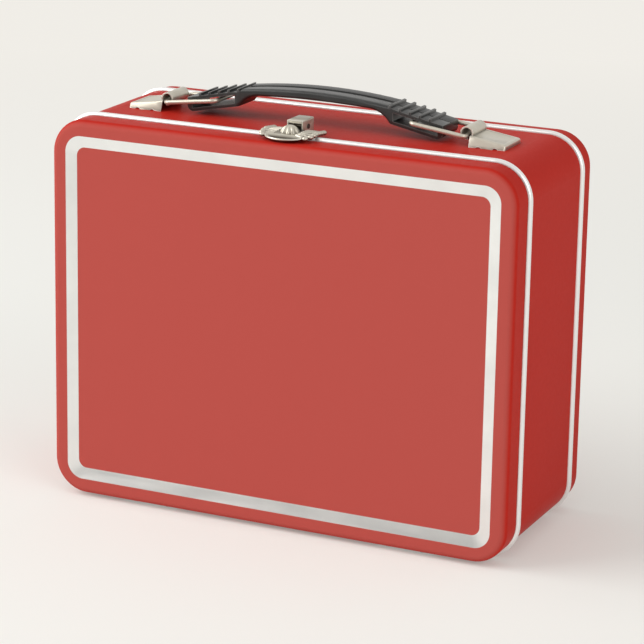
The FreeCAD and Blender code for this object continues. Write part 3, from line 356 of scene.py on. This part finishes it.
def case_metal(name, facing):
    """Tinplate, enamelled red outside. facing is -1 for the lid, 1 for the back and 0 for the band."""
    graph = Graph(bpy.data.materials.new(name))
    painted = graph.ramp(graph.inset(0, CORNER_RADIUS), *PAINT_STOP)
    enamel = graph.mix(graph.cloud(ENAMEL_CLOUD, 3.0), RED, RED_DEEP)
    patches = graph.cloud(TIN_PATCHES, 4.0)
    metal = graph.mix(patches, INSIDE_TIN, INSIDE_TIN_DULL)
    rough_metal = graph.cloud(TIN_BRUSHING, 3.0, *INSIDE_ROUGH, stretch=BRUSHED)
    if facing:
        _, across, _ = graph.axes(graph.add("TexCoord").outputs["Normal"])
        outward = graph.math("MULTIPLY", across, facing)
        painted = graph.math("MAXIMUM", painted, graph.ramp(outward, *PANEL_TURN))
    if facing < 0:
        bare = graph.bare_frame()
        painted = graph.math("MULTIPLY", painted, graph.math("SUBTRACT", 1.0, bare))
        # Front-facing enamel of the lid goes paler: painted reflection haze
        enamel = graph.mix(graph.ramp(outward, *PAINTED_HAZE_TURN), enamel, RED_PAINTED_HAZE)
        metal = graph.mix(bare, metal, graph.mix(patches, FRAME_TIN, FRAME_TIN_DULL))
        polish = graph.math("MULTIPLY", bare, FRAME_POLISH)
        rough_metal = graph.math("SUBTRACT", rough_metal, polish)
    unpainted = graph.math("SUBTRACT", 1.0, painted)
    rough_paint = graph.cloud(ENAMEL_SHEEN, 3.0, *ENAMEL_ROUGH)
    rough = graph.math("ADD", graph.math("MULTIPLY", painted, rough_paint),
                       graph.math("MULTIPLY", unpainted, rough_metal))
    graph.finish(Base_Color=graph.mix(painted, metal, enamel), Metallic=unpainted, Roughness=rough,
                 Specular_IOR_Level=ENAMEL_SPECULAR,
                 Normal=graph.bump(graph.noise(ENAMEL_GRAIN, 2.0), ENAMEL_RELIEF))
    return graph.owner


def bright_metal(name, light, dull, rough, grain_scale, metallic, painted_shade_reach=0, trough=False):
    """Clouded, finely grained metal. A shade reach paints shade into its recesses and painted highlights
    along its edges.
    """
    graph = Graph(bpy.data.materials.new(name))
    color = graph.mix(graph.cloud(METAL_CLOUD, 4.0), light, dull)
    if painted_shade_reach:
        clear = graph.math("MINIMUM", graph.ramp(graph.hollow(painted_shade_reach), *WIDE_RECESS),
                           graph.ramp(graph.hollow(FINE_REACH), *FINE_RECESS))
        # Painted shade also fills the flap's trough behind its lip
        if trough:
            clear = graph.math("MINIMUM", clear, graph.flap_trough())
        # Painted shade darkens the recesses
        color = graph.mix(clear, RECESS_PAINTED_SHADE, color)
        # Painted highlight along sharp edges
        color = graph.mix(graph.away_from_edges(), EDGE_PAINTED_HIGHLIGHT, color)
    grain = graph.noise(grain_scale, 3.0)
    graph.finish(Base_Color=color, Metallic=metallic, Roughness=graph.ramp(grain, *NOISE_SPAN, *rough),
                 Normal=graph.bump(grain, METAL_RELIEF))
    return graph.owner


def moulded_plastic(name):
    """Black moulded plastic with a fine satin grain and painted highlights along its sharp edges."""
    graph = Graph(bpy.data.materials.new(name))
    color = graph.mix(graph.cloud(PLASTIC_CLOUD, 4.0), PLASTIC, PLASTIC_PALE)
    # Painted highlight along sharp edges
    color = graph.mix(graph.away_from_edges(), PLASTIC_PAINTED_HIGHLIGHT, color)
    grain = graph.noise(PLASTIC_GRAIN, 2.0)
    graph.finish(Base_Color=color, Roughness=graph.ramp(grain, *NOISE_SPAN, *PLASTIC_ROUGH),
                 Normal=graph.bump(grain, PLASTIC_RELIEF))
    return graph.owner


def dress(material, *names):
    """Give CAD nodes a finish."""
    for name in names:
        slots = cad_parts[name].data.materials
        slots.clear()
        slots.append(material)


tin = bright_metal("bright_tin", RIM_TIN, RIM_TIN_DULL, rough=(0.29, 0.33), grain_scale=700, metallic=0.7)
# Nickel fittings take painted shade in recesses and painted highlights along edges
nickel = bright_metal("nickel_plate", NICKEL, NICKEL_DULL, rough=PLATING_ROUGH, grain_scale=900, metallic=0.6,
                      painted_shade_reach=2 * MM)
# The flap's nickel takes painted shade in recesses and in its trough, and painted highlights along edges
flap_nickel = bright_metal("flap_nickel_painted_shade", NICKEL_PALE, NICKEL_DULL, rough=PLATING_ROUGH, grain_scale=900,
                           metallic=0.85, painted_shade_reach=4 * MM, trough=True)
steel = bright_metal("plain_steel", STEEL, STEEL_DULL, rough=(0.28, 0.42), grain_scale=600, metallic=1.0)
# The latch pin's near-black finish is painted shade
pin_painted_shade_steel = bright_metal("pin_painted_shade_steel", PIN_PAINTED_SHADE, PIN_PAINTED_SHADE_DULL, rough=(0.35, 0.45), grain_scale=900,
                          metallic=0.8)
plastic = moulded_plastic("black_plastic")
dress(case_metal("enamelled_band", 0), "body_band")
dress(case_metal("enamelled_lid", -1), "front_lid")
dress(case_metal("enamelled_back", 1), "back_cover")
dress(tin, "front_rim", "rear_rim")
dress(nickel, "lid_catch", "left_bail", "right_bail")
# Latch pin painted near-black as the shade of its hole
dress(pin_painted_shade_steel, "latch_pin")
dress(steel, "left_band_leaf", "right_band_leaf", "left_lid_leaf", "right_lid_leaf", "hinge_pin_left",
      "hinge_pin_right", "band_hinge_rivets", "lid_hinge_rivets", "latch_spring")


# Pieces with eased edges

def select_only(*pieces):
    """Select these pieces and nothing else, and make the first one active."""
    bpy.ops.object.select_all(action="DESELECT")
    for piece in pieces:
        piece.select_set(True)
    if pieces:
        bpy.context.view_layer.objects.active = pieces[0]


def apply_modifiers(piece):
    bpy.context.view_layer.objects.active = piece
    for modifier in list(piece.modifiers):
        bpy.ops.object.modifier_apply(modifier=modifier.name)


def finish_piece(piece, name, material, node, body):
    """Name a modelled piece and let it stand for a CAD node."""
    piece.name = name
    piece.data.name = name
    piece.data.materials.clear()
    piece.data.materials.append(material)
    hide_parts(node)
    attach(piece, body)


def ease_edges(node, body, material, width):
    """The same shape as a CAD node, with its sharp edges rounded off."""
    piece = bpy.data.objects.new(node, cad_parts[node].data.copy())
    bpy.context.scene.collection.objects.link(piece)
    select_only(piece)
    bpy.ops.object.mode_set(mode="EDIT")
    bpy.ops.mesh.select_all(action="SELECT")
    bpy.ops.mesh.remove_doubles(threshold=SAME_POINT)
    bpy.ops.mesh.dissolve_limited(angle_limit=SAME_PLANE)
    bpy.ops.object.mode_set(mode="OBJECT")
    bevel = piece.modifiers.new("eased", "BEVEL")
    bevel.width = width
    bevel.segments = 2
    bevel.limit_method = "ANGLE"
    bevel.angle_limit = SHARP
    apply_modifiers(piece)
    bpy.ops.object.shade_smooth_by_angle(angle=SHARP)
    finish_piece(piece, f"{node}_eased", material, node, body)


ease_edges("handle_grip", "handle", plastic, GRIP_EDGE)
ease_edges("latch_bracket", "case", nickel, LATCH_BRACKET_EDGE)
for side_name in ("left", "right"):
    ease_edges(f"{side_name}_handle_bracket", "case", nickel, HANDLE_BRACKET_EDGE)


# Latch flap

def share_of_run(value, start, run):
    """How much of a run lies behind a value, from 0 at its start to 1 at its end."""
    return min(max((value - start) / run, 0), 1)


def flap_height(x, y):
    """Middle of the flap's sheet above the case top: a rolled lip, a trough behind it and a raised back."""
    edge = math.hypot(x / FLAP_HALF_WIDTH, (y - FLAP_MIDDLE) / FLAP_HALF_DEPTH)
    lip = max(0, (edge - LIP_START) / LIP_WIDTH) ** 2
    rise = share_of_run(y, BACK_FRONT, BACK_RUN)
    rise = rise * rise * (3 - 2 * rise)
    tail = share_of_run(y, TAIL_FRONT, TAIL_RUN)
    return TROUGH_HEIGHT + BACK_RISE * rise - TAIL_FALL * tail + lip


def press_plate():
    """Oval dish with a rolled lip."""
    bpy.ops.mesh.primitive_circle_add(vertices=128, radius=1, fill_type="NOTHING")
    plate = bpy.context.active_object
    bpy.ops.object.mode_set(mode="EDIT")
    bpy.ops.mesh.select_all(action="SELECT")
    last = 1.0
    for share in FLAP_RINGS:
        bpy.ops.mesh.extrude_edges_move()
        bpy.ops.transform.resize(value=(share / last, share / last, 1))
        last = share
    bpy.ops.mesh.edge_face_add()
    bpy.ops.object.mode_set(mode="OBJECT")
    for vertex in plate.data.vertices:
        y = vertex.co.y * FLAP_HALF_DEPTH + FLAP_MIDDLE
        x = vertex.co.x * (FLAP_HALF_WIDTH - WAIST * share_of_run(y, WAIST_FRONT, WAIST_RUN))
        vertex.co = (x, y, flap_height(x, y))
    thickness = plate.modifiers.new("sheet", "SOLIDIFY")
    thickness.thickness = FLAP_SHEET
    thickness.offset = 0
    apply_modifiers(plate)
    return plate


def press_boss():
    """Fluted thumb boss."""
    bpy.ops.mesh.primitive_uv_sphere_add(segments=BOSS_FLUTES * FLUTE_SEGMENTS, ring_count=24,
                                         radius=BOSS_RADIUS, location=BOSS_PLACE)
    boss = bpy.context.active_object
    for vertex in boss.data.vertices:
        turn = math.atan2(vertex.co.y, vertex.co.x)
        groove = 1 - BOSS_GROOVE * (1 - abs(math.cos(turn * BOSS_FLUTES / 2)))
        vertex.co = (vertex.co.x * groove, vertex.co.y * groove, vertex.co.z)
    bpy.ops.object.mode_set(mode="EDIT")
    bpy.ops.mesh.select_all(action="SELECT")
    bpy.ops.mesh.bisect(plane_co=(0, 0, BOSS_FOOT), plane_no=(0, 0, 1), use_fill=True, clear_inner=True)
    bpy.ops.object.mode_set(mode="OBJECT")
    return boss


def make_bead():
    """One flattened bead of a wing's border."""
    bpy.ops.mesh.primitive_uv_sphere_add(segments=20, ring_count=12, radius=1, scale=BEAD_SIZE)
    bpy.ops.object.transform_apply()
    return bpy.context.active_object


def make_rib():
    """One rib of a wing, a unit long, thicker at its foot."""
    bpy.ops.mesh.primitive_cylinder_add(vertices=16, radius=RIB_RADIUS, depth=1, location=(0, 0, 0.5))
    rib = bpy.context.active_object
    bpy.ops.object.transform_apply()
    for vertex in rib.data.vertices:
        if vertex.co.z < 0.5:
            vertex.co.x *= RIB_FOOT
            vertex.co.y *= RIB_FOOT
    return rib


def copy_piece(pattern, place):
    """Copy of a piece with a mesh of its own, put in its place."""
    piece = bpy.data.objects.new(pattern.name, pattern.data.copy())
    piece.data.transform(place)
    bpy.context.scene.collection.objects.link(piece)
    return piece


def make_wings():
    """Beads along both sides of the flap, each on a rib from the plate."""
    bead = make_bead()
    rib = make_rib()
    pieces = []
    for side in (-1, 1):
        for number in range(BEAD_COUNT):
            along = BEAD_FIRST + BEAD_STEP * number
            line = BEAD_LINE - BEAD_LINE_BEND * (min(along - BEND_END, 0) / BEND_RUN) ** 2
            height = BEAD_HEIGHT - BEAD_FALL * abs(along) / BEAD_FALL_RUN
            tip = Vector((side * line, along, height))
            pieces.append(copy_piece(bead, Matrix.Translation(tip)))
            inner = FLAP_MIDDLE + (along - FLAP_MIDDLE) * RIB_GATHER
            reach = FLAP_HALF_WIDTH * RIB_START
            start = Vector((side * reach, inner, flap_height(reach, inner) + RIB_LIFT))
            run = tip - start
            turn = run.to_track_quat("Z", "Y").to_matrix().to_4x4()
            stretch = Matrix.Diagonal((1, 1, run.length, 1))
            pieces.append(copy_piece(rib, Matrix.Translation(start) @ turn @ stretch))
    for pattern in (bead, rib):
        bpy.data.objects.remove(pattern)
    return pieces


def unite_and_notch(flap):
    """Make the flap one skin, cut the notch behind its boss and soften the steps."""
    select_only()
    bpy.ops.mesh.primitive_cube_add(size=1, location=(0, NOTCH_FRONT + NOTCH_REACH / 2, 0),
                                    scale=(NOTCH_WIDTH, NOTCH_REACH, NOTCH_REACH))
    notch = bpy.context.active_object
    unite = flap.modifiers.new("one_skin", "REMESH")
    unite.mode = "VOXEL"
    unite.voxel_size = VOXEL
    cut = flap.modifiers.new("notch", "BOOLEAN")
    cut.object = notch
    cut.operation = "DIFFERENCE"
    soften = flap.modifiers.new("soften", "SMOOTH")
    soften.factor = 0.5
    soften.iterations = 1
    select_only(flap)
    apply_modifiers(flap)
    bpy.data.objects.remove(notch)


def roll_barrel():
    """Barrel that turns on the latch pin."""
    bpy.ops.mesh.primitive_cylinder_add(vertices=48, radius=BARREL_RADIUS, depth=BARREL_LENGTH,
                                        end_fill_type="NOTHING", location=BARREL_PLACE,
                                        rotation=(0, math.radians(90), 0))
    barrel = bpy.context.active_object
    wall = barrel.modifiers.new("wall", "SOLIDIFY")
    wall.thickness = BARREL_WALL
    wall.offset = 0
    apply_modifiers(barrel)
    return barrel


def cut_neck():
    """Strip of sheet from the plate to the barrel."""
    bpy.ops.mesh.primitive_cube_add(size=1, location=NECK_PLACE, scale=NECK_SIZE)
    neck = bpy.context.active_object
    eased = neck.modifiers.new("eased", "BEVEL")
    eased.width = NECK_EDGE
    eased.segments = 3
    apply_modifiers(neck)
    return neck


def make_latch_flap():
    """Latch flap with pierced, beaded wings."""
    select_only()
    flap = press_plate()
    boss = press_boss()
    select_only(flap, boss, *make_wings())
    bpy.ops.object.join()
    bpy.ops.object.transform_apply()
    unite_and_notch(flap)
    select_only(flap, roll_barrel(), cut_neck())
    bpy.ops.object.join()
    flap.location = (0, RIM_Y * MM, CASE_TOP * MM)
    flap.scale = (MM, MM, MM)
    bpy.ops.object.transform_apply()
    bpy.ops.object.shade_smooth_by_angle(angle=FLAP_SHARP)
    finish_piece(flap, "latch_flap_pressed", flap_nickel, "latch_flap", "latch")


make_latch_flap()


# Stage

def lay_floor():
    """Pale floor that keeps the shadow near the case and fades into the backdrop away from it."""
    select_only()
    bpy.ops.mesh.primitive_plane_add(size=FLOOR_SIZE)
    floor = bpy.context.active_object
    floor.name = "floor"
    graph = Graph(bpy.data.materials.new("pale_floor"))
    graph.finish(Base_Color=FLOOR_COLOR, Roughness=FLOOR_ROUGH, Specular_IOR_Level=0.0)
    rays = graph.add("LightPath").outputs
    seen = graph.math("ADD", rays["Is Camera Ray"], rays["Is Glossy Ray"])
    seen = graph.math("ADD", seen, rays["Is Transmission Ray"])
    x, y, _ = graph.axes(graph.place())
    fade = graph.ramp(graph.length(x, y), *FLOOR_FADE, FLOOR_GLOW, 1.0)
    glow = graph.add("Emission")
    glow.inputs["Color"].default_value = PALE
    share = graph.math("MULTIPLY", graph.math("MINIMUM", seen, 1.0), fade)
    graph.show(share, glow, "Material Output")
    floor.data.materials.append(graph.owner)


def hang_lamp(name, place, size, power):
    """Square soft lamp that faces the case."""
    lamp = bpy.data.lights.new(name, "AREA")
    lamp.size = size
    lamp.energy = power
    lamp.color = WARM
    holder = bpy.data.objects.new(name, lamp)
    holder.location = place
    holder.rotation_euler = (LAMP_AIM - Vector(place)).to_track_quat("-Z", "Y").to_euler()
    bpy.context.scene.collection.objects.link(holder)


def light_world():
    """Sky that is dimmer near the horizon, and a wall at the back that is paler in reflections."""
    world = bpy.data.worlds.new("studio")
    bpy.context.scene.world = world
    graph = Graph(world, "Background")
    rays = graph.add("LightPath").outputs
    _, back, up = graph.axes(graph.add("TexCoord").outputs["Generated"])
    blend = graph.add("Mix")
    graph.put(graph.ramp(back, *WALL_TURN), blend.inputs[0])
    graph.put(graph.ramp(up, *SKY_RISE, *SKY_LIGHT), blend.inputs[2])
    graph.put(graph.ramp(rays["Is Glossy Ray"], 0.0, 1.0, WALL_LIGHT, WALL_SEEN), blend.inputs[3])
    graph.finish(Color=(*WARM, 1), Strength=blend.outputs[0])
    plain = graph.add("Background")
    plain.inputs["Color"].default_value = PALE
    graph.show(rays["Is Camera Ray"], plain, "World Output")


def set_camera():
    """Camera at the photograph's angle and framing."""
    right_flat = Vector((math.cos(AZIMUTH), math.sin(AZIMUTH), 0))
    level = math.cos(ELEVATION)
    back = Vector((math.sin(AZIMUTH) * level, -math.cos(AZIMUTH) * level, math.sin(ELEVATION)))
    up_flat = back.cross(right_flat)
    right = right_flat * math.cos(ROLL) + up_flat * math.sin(ROLL)
    up = up_flat * math.cos(ROLL) - right_flat * math.sin(ROLL)
    foot = Vector((0, FRONT_Y, FOOT_HEIGHT))
    place = foot + right * CAMERA_RIGHT + up * CAMERA_UP + back * CAMERA_BACK
    lens = bpy.data.cameras.new("camera")
    lens.sensor_width = SENSOR
    lens.lens = FOCAL_PIXELS / FRAME_PIXELS * SENSOR
    lens.clip_end = FARTHEST
    camera = bpy.data.objects.new("camera", lens)
    camera.matrix_world = Matrix.Translation(place) @ Matrix((right, up, back)).transposed().to_4x4()
    bpy.context.scene.collection.objects.link(camera)
    bpy.context.scene.camera = camera


lay_floor()
light_world()
hang_lamp("key", (-1.45, -0.67, 0.95), size=1.7, power=28)
hang_lamp("fill", (1.5, -0.9, 0.75), size=1.2, power=10)
set_camera()
bpy.context.scene.view_settings.view_transform = "Standard"
